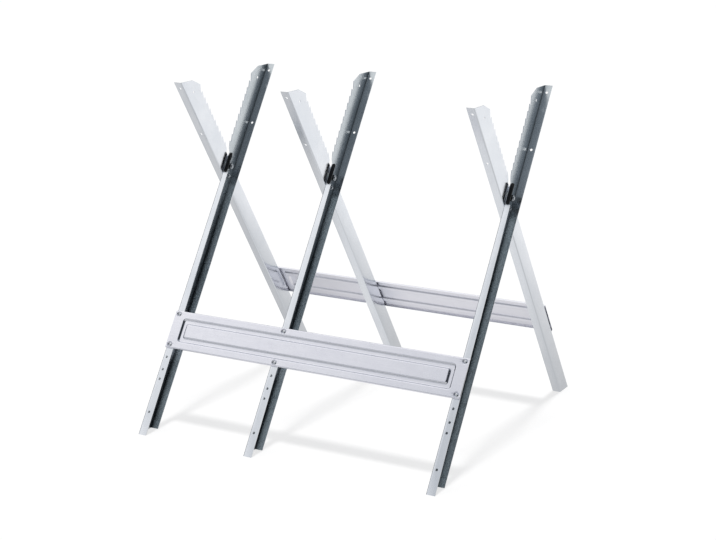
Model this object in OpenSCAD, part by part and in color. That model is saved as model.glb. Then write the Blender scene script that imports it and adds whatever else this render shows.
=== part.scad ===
// Folding log sawhorse: three crossed frames of folded sheet channel with toothed
// upper arms, tied by a pressed crossbar in front and one behind.
// Origin: on the floor, midway along the row of frames, under the fold axis.
// X runs along the log, -Y is the front, +Z is up.

/* [Stance] */
// Lean of every leg from the vertical, degrees
leg_angle = 34.2; // [31:0.1:37]
// Height at which the centre lines of the legs cross
crossing_h = 555; // [480:1:640]
// Height of the tops of the toothed arms
top_h = 795; // [760:1:860]
// Fold axis above the crossing of the centre lines
pivot_rise = 11; // [8:0.5:12]

/* [Frames] */
// From the left frame to the middle frame
left_bay = 290; // [200:1:400]
// From the middle frame to the right frame
right_bay = 460; // [200:1:600]

/* [Leg channel] */
// Width of the web, over both flanges
web_w = 43; // [40:0.5:52]
// Width of the rear flange, over the web
flange_w = 20; // [18:0.5:28]
// Width of the front flange at its upper end, under the crossing
flange_top_w = 13.5; // [12:0.5:17]
// Width of the front flange at the foot
flange_foot_w = 22; // [18:0.5:26]
// Sheet thickness of the legs
sheet_t = 1.5; // [1:0.1:2]
// Outside radius of the folds
fold_r = 2.5; // [2.2:0.1:4]
// The front flange stops this far below the crossing
flange_stop = 13; // [12:0.5:20]

/* [Teeth] */
// Distance from tooth to tooth, with as many teeth as the arm has room for
tooth_pitch = 18.3; // [12:0.1:24]
// Depth of a tooth
tooth_h = 6.2; // [3:0.1:8]
// Tooth roots stand this far outside the flange face
root_out = 6.3; // [3:0.1:9]
// Lowest tooth tip above the crossing, along the arm
first_tooth = 65; // [60:1:80]

/* [Holes] */
// Diameter of the screw holes and spare holes in the flanges
hole_d = 6; // [5.5:0.1:7]
// Spare holes below the lower edge of the crossbar, along the leg
spare_holes = [22, 53, 77, 159];
// Holes in the outer flange, down from the top of the arm
arm_holes = [19, 164];
// Hole in the toothed web, down from the top of the arm
web_hole_drop = 52; // [45:1:70]
// The same hole from the line of the front flange
web_hole_in = 16.3; // [10:0.1:24]

/* [Crossbars] */
// Lower edge of a crossbar above the foot, along the leg
bar_rise = 215.5; // [190:0.5:260]
// Height of a crossbar
bar_h = 93; // [80:1:98]
// Thickness of the pressed sheet
bar_t = 1.2; // [0.8:0.1:2]
// Depth of the pressing
bar_deep = 5; // [3:0.1:8]
// Outside radius of the bar's folded edges
bar_fold_r = 2.4; // [2.2:0.1:3]
// Flat margin above and below the pressed groove
groove_inset = 18.5; // [16:0.5:22]
// Flat margin at each end of the groove
groove_end = 29; // [26:0.5:40]
// Width of the pressed groove
groove_w = 11; // [8:0.5:14]
// Corner radius of the groove
groove_r = 6; // [4:0.5:10]
// Screws from the upper and lower edge
screw_inset = 8.5; // [8:0.1:9.5]
// Diameter of the dimple round each screw
dimple_d = 14; // [13:0.5:15]

/* [Fasteners] */
// Diameter of the pivot bolts
pivot_d = 8; // [6:0.5:8]
// Across the flats of their heads and nuts
pivot_af = 13; // [12:0.5:15]
// Diameter of the stop bolts
stop_d = 6; // [5:0.5:6]
// Across the flats of their heads and nuts
stop_af = 10; // [9:0.5:12]
// The stop bolts sit this far below the crossing, along the leg
stop_drop = 14.5; // [14:0.5:18]
// Diameter of the crossbar screws
screw_d = 5; // [4:0.5:5]
// Diameter of their domed heads
screw_head_d = 10; // [8:0.5:11]
// Height of their domed heads
screw_head_t = 2.8; // [2:0.1:3.5]
// Across the flats of their nuts
screw_nut_af = 8; // [7:0.5:9]
// Every bolt and screw ends this far past its nut
thread_out = 2; // [1:0.5:4]
// Running clearance on the diameter of the pivot bolts
pivot_play = 0.16; // [0.04:0.02:0.2]
// Clearance on the diameter of the other bolts, screws and washers
bolt_play = 0.4; // [0.2:0.1:0.6]
// Diameter of the flat washers and of the nylon spacers
washer_d = 24; // [20:0.5:24]
// Thickness of a flat washer
washer_t = 1.6; // [1:0.1:2]
// Thickness of the nylon spacer between two webs
spacer_t = 1.2; // [0.8:0.1:2]

/* [Pinch guards] */
// Length of a guard along the leg
guard_len = 52; // [46:1:54]
// Reach of a guard out from the web
guard_w = 10.5; // [8:0.5:16]
// Radius of its corners
guard_r = 4.2; // [1:0.1:6]
// Gap between its back and the washer of the pivot
guard_back_gap = 0.5; // [0.3:0.1:1.2]
// Flutes along it
flute_n = 1; // [1:1:3]
// Width of a flute
flute_w = 1.6; // [1:0.1:2]
// Gap between the guard and the end of the flange
guard_gap = 0.5; // [0.3:0.1:2]
// Diameter of the peg that holds the guard
guard_peg_d = 4; // [3:0.5:5]
// Thickness of the lip that lies on the web
guard_lip_t = 4; // [2:0.5:6]
// Reach of the lip over the web
guard_lip_w = 11; // [8:0.5:12]
// Gap between the lip and the washer under it
guard_lip_gap = 2.8; // [1:0.1:5]

/* [Hidden] */
$fn = 48;
// A hair that keeps cutters through a face
eps = 0.5;
// Frames along X, each one's two webs half a spacer either side of its plane
row_len = left_bay + right_bay;
frame_x = [-row_len / 2, -row_len / 2 + left_bay, row_len / 2];
// Slope of the leg, and its foot and top along the centre line
leg_sin = sin(leg_angle);
leg_cos = cos(leg_angle);
foot_s = crossing_h / leg_cos + web_w * leg_sin / leg_cos;
arm_s = (top_h - crossing_h) / leg_cos + web_w * leg_sin / leg_cos;
// Ends of the leg's two flanges, along the leg
foot_end = level_s(0, 0);
arm_end = level_s(top_h, web_w);
bar_drop = -foot_end - bar_rise - bar_h;
// The fold axis in the leg's own frame, depth from the front flange and height
pivot_y = web_w / 2 - pivot_rise * leg_sin;
pivot_s = pivot_rise * leg_cos;
// The stop bolt on the centre line of the front leg
stop_y = web_w / 2;
stop_s = -stop_drop;
stop_reach = norm([stop_y - pivot_y, stop_s - pivot_s]);
// The angle from the leg's downward axis to the stop bolt, in the front leg
stop_lead = atan2(stop_y - pivot_y, pivot_s - stop_s);
// In the rear leg the bolt starts at the open angle and travels to the folded one
slot_open = 2 * leg_angle - stop_lead;
fold_turn = 64;
slot_play = 0.3;
// Heights of heads and nuts against the diameter of their bolt
head_share = 0.66;
nut_share = 0.8;
pivot_head_t = pivot_d * head_share;
pivot_nut_t = pivot_d;
stop_head_t = stop_d * head_share;
stop_nut_t = stop_d;
screw_nut_t = screw_d * nut_share;
bar_len = row_len + flange_w;
// The corner at the top of the toothed web, and the slope at its lower end
peak_depth = 3.8;
corner_lead = 9;
corner_out = root_out + corner_lead;
corner_drop = 16;
crotch_slope = 6;
top_corner = level_s(top_h, -corner_out) - corner_drop;
tooth_n = floor((top_corner - corner_drop - first_tooth) / tooth_pitch) + 1;
// The guard's ends along the leg, and its lip's
guard_low = guard_gap - flange_stop;
guard_deep = pivot_y - washer_d / 2 - guard_back_gap;
guard_margin = 4;
lip_low = pivot_s + washer_d / 2 + guard_lip_gap;
lip_high = guard_low + guard_len - guard_margin;
lip_grip = 0.75;
// Facets of the large arcs
fine_fn = 96;
steel = [0.77, 0.79, 0.83];
zinc = [0.84, 0.85, 0.87];
black = [0.10, 0.11, 0.12];
nylon = [0.90, 0.90, 0.86];

// Height along the leg at which the level z is met, at a depth from the front flange
function level_s(z, depth) = (z - crossing_h + leg_sin * (depth - web_w / 2)) / leg_cos;
// Width of the front flange at a place along the leg
function flange_edge(s) = flange_top_w
    + (flange_foot_w - flange_top_w) * (s + flange_stop) / (foot_end + flange_stop);
// A tooth tip, and the root under its square upper edge
function tip_s(k) = first_tooth + k * tooth_pitch;
function screw_rows() = [bar_drop + screw_inset, bar_drop + bar_h - screw_inset];
// Across the corners of a hexagon
function corners(af) = af / cos(30);

// Places a piece given in the front leg's own frame: X from the web, Y from the
// front flange, Z up the leg from the crossing
module on_front(x) {
    translate([x + spacer_t / 2, 0, crossing_h])
        rotate([-leg_angle, 0, 0])
            translate([0, -web_w / 2, 0])
                children();
}

// The rear leg is the same piece turned half round the upright axis
module on_rear(x) {
    translate([x, 0, 0])
        rotate([0, 0, 180])
            on_front(0)
                children();
}

// Puts a drawing made in depth and height on the YZ plane, thick in X
module side_plate(x, thick) {
    translate([x, 0, 0])
        rotate([90, 0, 90])
            linear_extrude(thick)
                children();
}

module bore_x(y, s, d, x, len) {
    translate([x, y, s])
        rotate([0, 90, 0])
            cylinder(d = d, h = len);
}

module bore_y(x, s, d, y, len) {
    translate([x, y, s])
        rotate([-90, 0, 0])
            cylinder(d = d, h = len);
}

// One rounded fold in a sheet, drawn in X and Y with its corner at the origin
module fold_corner(r, thick) {
    difference() {
        intersection() {
            square(r);
            translate([r, r])
                circle(r);
        }
        translate([r, r])
            circle(r - thick);
    }
}

// Half of the channel: flange and fold of one side
module angle_half(w) {
    fold_corner(fold_r, sheet_t);
    translate([fold_r, 0])
        square([w - fold_r, sheet_t]);
    translate([0, fold_r])
        square([sheet_t, web_w / 2 - fold_r]);
}

module rear_half() {
    translate([0, web_w])
        mirror([0, 1])
            angle_half(flange_w);
}

// The front flange narrows from the foot to its upper end
module front_half() {
    intersection() {
        translate([0, 0, -foot_s])
            linear_extrude(foot_s - flange_stop)
                angle_half(flange_top_w + flange_foot_w);
        translate([0, web_w, 0])
            rotate([90, 0, 0])
                linear_extrude(2 * web_w)
                    polygon([[-eps, -foot_s - eps], [flange_edge(-foot_s - eps), -foot_s - eps],
                             [flange_edge(0), 0], [-eps, 0]]);
    }
}

// The toothed edge, from the flange end up to the slanted top
function tooth_points() = [for (k = [0 : tooth_n - 1], part = [0, 1])
    [part == 0 ? -root_out - tooth_h : -root_out, tip_s(k)]];

module toothed_outline() {
    polygon(concat(
        [[web_w / 2, -flange_stop], [0, -flange_stop]],
        [[0, first_tooth - tooth_pitch - crotch_slope], [-root_out, first_tooth - tooth_pitch]],
        tooth_points(),
        [[-root_out, top_corner - corner_drop], [-corner_out, top_corner]],
        [[peak_depth, level_s(top_h, peak_depth)]],
        [[web_w / 2, level_s(top_h, web_w / 2)]]));
}

// The folded blank, cut level at the floor and at the top
module channel_body() {
    beyond = 2 * web_w;
    intersection() {
        union() {
            front_half();
            translate([0, 0, -foot_s])
                linear_extrude(foot_s + arm_s)
                    rear_half();
            side_plate(0, sheet_t)
                toothed_outline();
        }
        side_plate(-eps, flange_w + flange_foot_w)
            polygon([[-beyond, level_s(0, -beyond)], [beyond, level_s(0, beyond)],
                     [beyond, level_s(top_h, beyond)], [-beyond, level_s(top_h, -beyond)]]);
    }
}

module flange_holes() {
    x = flange_w / 2;
    for (drop = screw_rows())
        bore_y(x, -drop, hole_d, -eps, sheet_t + 2 * eps);
    for (drop = spare_holes)
        bore_y(x, foot_end + bar_rise - drop, hole_d, -eps, sheet_t + 2 * eps);
    for (drop = arm_holes)
        bore_y(x, arm_end - drop, hole_d, web_w - sheet_t - eps, sheet_t + 2 * eps);
}

module leg_blank() {
    difference() {
        channel_body();
        flange_holes();
        bore_x(web_hole_in, arm_end - web_hole_drop, hole_d, -eps, sheet_t + 2 * eps);
        bore_x(pivot_y, pivot_s, pivot_d + pivot_play, -eps, sheet_t + 2 * eps);
    }
}

// The guard's peg, in the middle of its lip
module guard_peg_place(d, x, len) {
    bore_x(guard_lip_w / 2, (lip_low + lip_high) / 2, d, x, len);
}

module front_leg(x) {
    color(steel)
        on_front(x)
            difference() {
                leg_blank();
                bore_x(stop_y, stop_s, stop_d + bolt_play, -eps, sheet_t + 2 * eps);
                guard_peg_place(guard_peg_d + bolt_play, -eps, sheet_t + 2 * eps);
            }
}

// The slot for the stop bolt, an arc about the fold axis
module stop_slot() {
    w = stop_d + bolt_play;
    from = slot_open + slot_play;
    turn = fold_turn + 2 * slot_play;
    translate([-eps, pivot_y, pivot_s])
        rotate([0, 90, 0])
            rotate([0, 0, from - turn]) {
                rotate_extrude(angle = turn, $fn = fine_fn)
                    translate([stop_reach - w / 2, 0])
                        square([w, sheet_t + 2 * eps]);
                for (a = [0, turn])
                    rotate([0, 0, a])
                        translate([stop_reach, 0, 0])
                            cylinder(d = w, h = sheet_t + 2 * eps);
            }
}

module rear_leg(x) {
    color(steel)
        on_rear(x)
            difference() {
                leg_blank();
                stop_slot();
            }
}

module round_plate(w, h, r) {
    square([w - 2 * r, h], center = true);
    square([w, h - 2 * r], center = true);
    for (i = [-1, 1], j = [-1, 1])
        translate([i * (w / 2 - r), j * (h / 2 - r)])
            circle(r);
}

// Section of the bar's sheet, drawn across it: the face with both edges folded back
module bar_section() {
    half = bar_h / 2;
    for (flip = [0, 1])
        mirror([flip, 0])
            translate([half, bar_deep])
                rotate(180) {
                    fold_corner(bar_fold_r, bar_t);
                    translate([bar_fold_r, 0])
                        square([half - bar_fold_r, bar_t]);
                    translate([0, bar_fold_r])
                        square([bar_t, bar_deep - bar_fold_r]);
                }
}

// Pressed crossbar, drawn flat: X along it, Y up its face, Z out of the pressing
module crossbar() {
    gw = bar_len - 2 * groove_end;
    gh = bar_h - 2 * groove_inset;
    iw = gw - 2 * groove_w;
    ih = gh - 2 * groove_w;
    ir = groove_r - bar_t;
    face = bar_deep - bar_t;
    difference() {
        union() {
            // Margin with its folded edges, and middle panel, level with each other
            difference() {
                translate([-bar_len / 2, 0, 0])
                    rotate([90, 0, 90])
                        linear_extrude(bar_len)
                            bar_section();
                translate([0, 0, face - eps])
                    linear_extrude(bar_t + 2 * eps)
                        round_plate(gw, gh, groove_r);
            }
            translate([0, 0, face])
                linear_extrude(bar_t)
                    round_plate(iw, ih, ir);
            // Floor of the groove, which seats on the legs
            linear_extrude(bar_t)
                difference() {
                    round_plate(gw, gh, groove_r);
                    round_plate(iw, ih, ir);
                }
            // Walls of the groove
            linear_extrude(bar_deep)
                difference() {
                    round_plate(gw + 2 * bar_t, gh + 2 * bar_t, groove_r + bar_t);
                    round_plate(gw, gh, groove_r);
                }
            linear_extrude(bar_deep)
                difference() {
                    round_plate(iw, ih, ir);
                    round_plate(iw - 2 * bar_t, ih - 2 * bar_t, ir - bar_t);
                }
            bar_screw_places()
                cylinder(d = dimple_d, h = bar_deep);
        }
        bar_screw_places() {
            translate([0, 0, bar_t])
                cylinder(d = dimple_d - 2 * bar_t, h = bar_deep);
            translate([0, 0, -eps])
                cylinder(d = screw_d + bolt_play, h = bar_deep);
        }
    }
}

module bar_screw_places() {
    for (x = frame_x, side = [-1, 1])
        translate([x, side * (bar_h / 2 - screw_inset), 0])
            children();
}

// Stands the flat crossbar on the front flanges of the legs
module bar_seat() {
    translate([flange_w / 2, 0, -bar_drop - bar_h / 2])
        rotate([90, 0, 0])
            children();
}

// A cap of a ball, h high on a foot of diameter d
module dome(d, h) {
    ball_r = (d * d / 4 + h * h) / (2 * h);
    intersection() {
        cylinder(d = d, h = h);
        translate([0, 0, h - ball_r])
            sphere(ball_r);
    }
}

// The screws, with their nuts inside the channel
module bar_screws() {
    bar_screw_places() {
        translate([0, 0, bar_t])
            dome(screw_head_d, screw_head_t);
        translate([0, 0, -sheet_t - screw_nut_t - thread_out])
            cylinder(d = screw_d, h = sheet_t + screw_nut_t + thread_out + bar_t);
    }
}

module bar_nuts() {
    bar_screw_places()
        translate([0, 0, -sheet_t - screw_nut_t])
            difference() {
                cylinder(d = corners(screw_nut_af), h = screw_nut_t, $fn = 6);
                translate([0, 0, -eps])
                    cylinder(d = screw_d, h = screw_nut_t + 2 * eps);
            }
}

module each_frame() {
    for (x = frame_x)
        on_front(x)
            children();
}

module pivot_bolts() {
    color(zinc)
        each_frame() {
            under = -spacer_t - sheet_t - washer_t;
            bore_x(pivot_y, pivot_s, pivot_d, under,
                   2 * washer_t + 2 * sheet_t + spacer_t + pivot_nut_t + thread_out);
            translate([under - pivot_head_t, pivot_y, pivot_s])
                rotate([0, 90, 0])
                    cylinder(d = corners(pivot_af), h = pivot_head_t, $fn = 6);
        }
}

module ring_x(y, s, outer, inner, x, len) {
    difference() {
        bore_x(y, s, outer, x, len);
        bore_x(y, s, inner, x - eps, len + 2 * eps);
    }
}

module hex_nut_x(y, s, af, inner, x, len) {
    difference() {
        translate([x, y, s])
            rotate([0, 90, 0])
                cylinder(d = corners(af), h = len, $fn = 6);
        bore_x(y, s, inner, x - eps, len + 2 * eps);
    }
}

module pivot_nuts() {
    color(zinc)
        each_frame()
            hex_nut_x(pivot_y, pivot_s, pivot_af, pivot_d, sheet_t + washer_t, pivot_nut_t);
}

module nut_washers() {
    color(zinc)
        each_frame()
            ring_x(pivot_y, pivot_s, washer_d, pivot_d + bolt_play, sheet_t, washer_t);
}

module head_washers() {
    color(zinc)
        each_frame()
            ring_x(pivot_y, pivot_s, washer_d, pivot_d + bolt_play,
                   -spacer_t - sheet_t - washer_t, washer_t);
}

module nylon_spacers() {
    color(nylon)
        each_frame()
            ring_x(pivot_y, pivot_s, washer_d, pivot_d + pivot_play, -spacer_t, spacer_t);
}

module stop_bolts() {
    color(zinc)
        each_frame() {
            under = -spacer_t - sheet_t - bolt_play;
            bore_x(stop_y, stop_s, stop_d, under, -under + sheet_t + stop_nut_t + thread_out);
            translate([under - stop_head_t, stop_y, stop_s])
                rotate([0, 90, 0])
                    cylinder(d = corners(stop_af), h = stop_head_t, $fn = 6);
        }
}

module stop_nuts() {
    color(zinc)
        each_frame()
            hex_nut_x(stop_y, stop_s, stop_af, stop_d, sheet_t, stop_nut_t);
}

// Guard that goes on in line with the front flange, held to the web by a pegged lip
module pinch_guard() {
    w = guard_w - sheet_t;
    difference() {
        translate([sheet_t + w / 2, guard_deep, guard_low + guard_len / 2])
            rotate([90, 0, 0])
                linear_extrude(guard_deep)
                    round_plate(w, guard_len, min(guard_r, w / 2 - eps / 10));
        for (k = [1 : flute_n])
            translate([sheet_t + w * k / (flute_n + 1), 0, guard_low - eps])
                cylinder(d = flute_w, h = guard_len + 2 * eps);
    }
    side_plate(sheet_t, guard_lip_t)
        translate([guard_deep / 2, lip_low])
            square([guard_lip_w - guard_deep / 2, lip_high - lip_low]);
    guard_peg_place(guard_peg_d, 0, sheet_t + guard_lip_t * lip_grip);
}

module pinch_guards() {
    color(black)
        each_frame()
            pinch_guard();
}

module front_seat() {
    on_front(0)
        bar_seat()
            children();
}

module rear_seat() {
    on_rear(0)
        mirror([1, 0, 0])
            translate([-flange_w, 0, 0])
                bar_seat()
                    children();
}

module front_crossbar() {
    color(steel)
        front_seat()
            crossbar();
}

// The rear bar is the same pressing, turned round with its legs
module rear_crossbar() {
    color(steel)
        rear_seat()
            crossbar();
}

front_leg(frame_x[0]);  // front_leg_left
front_leg(frame_x[1]);  // front_leg_middle
front_leg(frame_x[2]);  // front_leg_right
rear_leg(frame_x[0]);  // rear_leg_left
rear_leg(frame_x[1]);  // rear_leg_middle
rear_leg(frame_x[2]);  // rear_leg_right
front_crossbar();
rear_crossbar();
pivot_bolts();
pivot_nuts();
nut_washers();
head_washers();
nylon_spacers();
stop_bolts();
stop_nuts();
pinch_guards();
color(zinc) front_seat() bar_screws();  // front_bar_screws
color(zinc) front_seat() bar_nuts();  // front_bar_nuts
color(zinc) rear_seat() bar_screws();  // rear_bar_screws
color(zinc) rear_seat() bar_nuts();  // rear_bar_nuts
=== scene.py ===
import math
import bpy
import numpy as np
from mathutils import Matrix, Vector
from mathutils.geometry import delaunay_2d_cdt


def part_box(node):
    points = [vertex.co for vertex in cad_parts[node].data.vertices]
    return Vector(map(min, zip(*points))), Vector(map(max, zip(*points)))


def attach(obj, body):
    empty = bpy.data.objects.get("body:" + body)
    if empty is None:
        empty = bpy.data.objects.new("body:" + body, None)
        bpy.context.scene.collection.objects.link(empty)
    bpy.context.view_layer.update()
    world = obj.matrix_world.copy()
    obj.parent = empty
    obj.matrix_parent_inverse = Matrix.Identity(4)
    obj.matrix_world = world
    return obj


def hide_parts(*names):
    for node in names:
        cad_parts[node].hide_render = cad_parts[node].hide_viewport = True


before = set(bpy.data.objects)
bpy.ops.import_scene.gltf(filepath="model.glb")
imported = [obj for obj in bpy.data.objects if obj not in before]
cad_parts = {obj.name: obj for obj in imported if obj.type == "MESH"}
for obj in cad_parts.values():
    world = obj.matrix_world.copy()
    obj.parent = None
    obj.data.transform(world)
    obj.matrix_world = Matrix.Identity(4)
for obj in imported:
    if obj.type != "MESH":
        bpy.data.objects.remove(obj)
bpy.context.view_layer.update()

# The camera looks down a little on the stand from its right, through a long lens,
# so that the far frame is only slightly smaller than the near one.
PICTURE_W = 716
SENSOR_W = 36.0
FOCAL_PIXELS = 1648.9
CAMERA_AZIMUTH = math.radians(28.94)
CAMERA_ELEVATION = math.radians(14.91)
CAMERA_DISTANCE = 3.929
CAMERA_TARGET = Vector((-0.011, 0.0, 0.349))
camera = bpy.data.objects.new("camera", bpy.data.cameras.new("camera"))
camera.data.sensor_width = SENSOR_W
camera.data.lens = FOCAL_PIXELS / PICTURE_W * SENSOR_W
towards_camera = Vector((
    math.sin(CAMERA_AZIMUTH) * math.cos(CAMERA_ELEVATION),
    -math.cos(CAMERA_AZIMUTH) * math.cos(CAMERA_ELEVATION),
    math.sin(CAMERA_ELEVATION)))
camera.location = CAMERA_TARGET + towards_camera * CAMERA_DISTANCE
camera.rotation_mode = "QUATERNION"
camera.rotation_quaternion = (-towards_camera).to_track_quat("-Z", "Y")
bpy.context.scene.collection.objects.link(camera)
bpy.context.scene.camera = camera

# The studio is a white sweep under an overhead light. The walls are brightest high on the left,
# and a black flag stands to the right and a grey one far to the left: bright metal draws its
# dark sides and the thin lines along its folds from them.
WHITE_SWEEP = "#FFFFFF"
SKY_HIGH = "#FFFFFF"
SKY_LOW = "#A6ABB2"
BLACK_FLAG = "#272B2F"
GREY_FLAG = "#4A4F55"
FLOOR_PAPER = "#AAA9A8"
WALL_TILT = (-1.0, 0.0, 1.0)
WALL_DARK_AT = 0.95
WALL_LIGHT_AT = 1.20
FLAG_DIRECTION = (0.78, -0.62, 0.0)
FLAG_SOFT_FROM = 0.30
FLAG_SOFT_TO = 0.75
FLAG_TOP_FROM = 0.50
FLAG_TOP_TO = 0.745
FLAG_TOP_FADE = 4.2
GREY_FLAG_FROM = 0.72
GREY_FLAG_TO = 0.86
FLOOR_HALF = 14.0
FLOOR_GLOW = 0.71
FLOOR_MIRRORED_NEAR = 0.60
FLOOR_MIRRORED_FAR = 0.98
FLOOR_NEAR = 0.4
FLOOR_FAR = 2.4
FLOOR_UNDER = 0.24
FLOOR_UNDER_R = 0.26
FLOOR_OUTSIDE_R = 0.50
FILL = 0.60
OVERHEAD_ANGLE = math.radians(9.0)
OVERHEAD_STRENGTH = 1.6


def colour(hex_code):
    """The linear colour of an sRGB hex code, by the sRGB curve, with alpha 1."""
    values = [int(hex_code[i:i + 2], 16) / 255 for i in (1, 3, 5)]
    return [v / 12.92 if v <= 0.04045 else ((v + 0.055) / 1.055) ** 2.4 for v in values] + [1.0]


def add_node(tree, kind, settings=None, links=None):
    """Adds one shader node. Settings names a property, or a socket by its name or number.
    Links gives for each socket the output that feeds it."""
    made = tree.nodes.new(kind)
    for name, value in (settings or {}).items():
        if isinstance(name, str) and hasattr(made, name):
            setattr(made, name, value)
        else:
            made.inputs[name].default_value = value
    for name, source in (links or {}).items():
        tree.links.new(source, made.inputs[name])
    return made


world = bpy.data.worlds.new("studio")
bpy.context.scene.world = world
world.use_nodes = True
tree = world.node_tree
tree.nodes.clear()
rays = add_node(tree, "ShaderNodeLightPath")
direction = add_node(tree, "ShaderNodeTexCoord")
height = add_node(tree, "ShaderNodeSeparateXYZ", {}, {0: direction.outputs["Generated"]})
level = add_node(tree, "ShaderNodeVectorMath", {"operation": "MULTIPLY", 1: (1.0, 1.0, 0.0)},
                 {0: direction.outputs["Generated"]})
bearing = add_node(tree, "ShaderNodeVectorMath", {"operation": "NORMALIZE"},
                   {0: level.outputs[0]})
facing_flag = add_node(tree, "ShaderNodeVectorMath",
                       {"operation": "DOT_PRODUCT", 1: Vector(FLAG_DIRECTION).normalized()},
                       {0: bearing.outputs[0]})
flag_side = add_node(tree, "ShaderNodeMapRange",
                     {"interpolation_type": "SMOOTHSTEP", 1: FLAG_SOFT_FROM, 2: FLAG_SOFT_TO},
                     {0: facing_flag.outputs["Value"]})
flag_height = add_node(tree, "ShaderNodeMapRange", {1: FLAG_TOP_FROM, 2: FLAG_TOP_TO},
                       {0: height.outputs[2]})
flag_fade = add_node(tree, "ShaderNodeMath", {"operation": "POWER", 1: FLAG_TOP_FADE},
                     {0: flag_height.outputs[0]})
flag_top = add_node(tree, "ShaderNodeMath", {"operation": "SUBTRACT", 0: 1.0},
                    {1: flag_fade.outputs[0]})
flag = add_node(tree, "ShaderNodeMath", {"operation": "MULTIPLY"},
                {0: flag_side.outputs[0], 1: flag_top.outputs[0]})
high_left = add_node(tree, "ShaderNodeVectorMath", {"operation": "DOT_PRODUCT", 1: WALL_TILT},
                     {0: direction.outputs["Generated"]})
wall_light = add_node(tree, "ShaderNodeMapRange", {1: WALL_DARK_AT, 2: WALL_LIGHT_AT},
                      {0: high_left.outputs["Value"]})
walls = add_node(tree, "ShaderNodeMix",
                 {"data_type": "RGBA", 6: colour(SKY_LOW), 7: colour(SKY_HIGH)},
                 {0: wall_light.outputs[0]})
with_black = add_node(tree, "ShaderNodeMix", {"data_type": "RGBA", 7: colour(BLACK_FLAG)},
                      {0: flag.outputs[0], 6: walls.outputs[2]})
left = add_node(tree, "ShaderNodeMapRange", {1: -GREY_FLAG_FROM, 2: -GREY_FLAG_TO},
                {0: height.outputs[0]})
surround = add_node(tree, "ShaderNodeMix", {"data_type": "RGBA", 7: colour(GREY_FLAG)},
                    {0: left.outputs[0], 6: with_black.outputs[2]})
seen = add_node(tree, "ShaderNodeBackground", {0: colour(WHITE_SWEEP)})
fill = add_node(tree, "ShaderNodeMapRange", {3: FILL, 4: 1.0},
                {0: rays.outputs["Is Glossy Ray"]})
lighting = add_node(tree, "ShaderNodeBackground", {},
                    {0: surround.outputs[2], 1: fill.outputs[0]})
either = add_node(tree, "ShaderNodeMixShader", {},
                  {0: rays.outputs["Is Camera Ray"], 1: lighting.outputs[0], 2: seen.outputs[0]})
add_node(tree, "ShaderNodeOutputWorld", {}, {0: either.outputs[0]})

floor_finish = bpy.data.materials.new("white_sweep")
floor_finish.use_nodes = True
tree = floor_finish.node_tree
tree.nodes.clear()
paper = add_node(tree, "ShaderNodeBsdfDiffuse", {0: colour(FLOOR_PAPER)})
glow = add_node(tree, "ShaderNodeEmission", {0: colour(WHITE_SWEEP), 1: FLOOR_GLOW})
rays = add_node(tree, "ShaderNodeLightPath")
no_glow = add_node(tree, "ShaderNodeBsdfTransparent", {0: (0.0, 0.0, 0.0, 1.0)})
seen_glow = add_node(tree, "ShaderNodeMixShader", {},
                     {0: rays.outputs["Is Camera Ray"], 1: no_glow.outputs[0],
                      2: glow.outputs[0]})
lit = add_node(tree, "ShaderNodeAddShader", {}, {0: paper.outputs[0], 1: seen_glow.outputs[0]})
# For glossy rays the floor is a glow without the real shadow: darkest in a ring round the stand,
# lighter right under it and lightest far out, as painted shadow of the stand.
where = add_node(tree, "ShaderNodeTexCoord")
away = add_node(tree, "ShaderNodeVectorMath", {"operation": "LENGTH"},
                {0: where.outputs["Object"]})
painted_floor_shadow = add_node(tree, "ShaderNodeMapRange",
                {1: FLOOR_NEAR, 2: FLOOR_FAR, 3: FLOOR_MIRRORED_NEAR, 4: FLOOR_MIRRORED_FAR},
                {0: away.outputs["Value"]})
under = add_node(tree, "ShaderNodeMapRange",
                 {1: FLOOR_UNDER_R, 2: FLOOR_OUTSIDE_R, 3: FLOOR_UNDER, 4: 0.0},
                 {0: away.outputs["Value"]})
strength = add_node(tree, "ShaderNodeMath", {"operation": "ADD"},
                    {0: painted_floor_shadow.outputs[0], 1: under.outputs[0]})
mirrored = add_node(tree, "ShaderNodeEmission", {0: colour(WHITE_SWEEP)},
                    {1: strength.outputs[0]})
either = add_node(tree, "ShaderNodeMixShader", {},
                  {0: rays.outputs["Is Glossy Ray"], 1: lit.outputs[0], 2: mirrored.outputs[0]})
add_node(tree, "ShaderNodeOutputMaterial", {}, {0: either.outputs[0]})
sweep_mesh = bpy.data.meshes.new("sweep")
sweep_mesh.from_pydata([(-FLOOR_HALF, -FLOOR_HALF, 0), (FLOOR_HALF, -FLOOR_HALF, 0),
                        (FLOOR_HALF, FLOOR_HALF, 0), (-FLOOR_HALF, FLOOR_HALF, 0)],
                       [], [(0, 1, 2, 3)])
sweep_mesh.materials.append(floor_finish)
sweep = bpy.data.objects.new("sweep", sweep_mesh)
bpy.context.scene.collection.objects.link(sweep)

overhead = bpy.data.objects.new("overhead", bpy.data.lights.new("overhead", "SUN"))
overhead.data.angle = OVERHEAD_ANGLE
overhead.data.energy = OVERHEAD_STRENGTH
overhead.visible_glossy = False
bpy.context.scene.collection.objects.link(overhead)
bpy.context.scene.view_settings.view_transform = "Standard"

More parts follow.
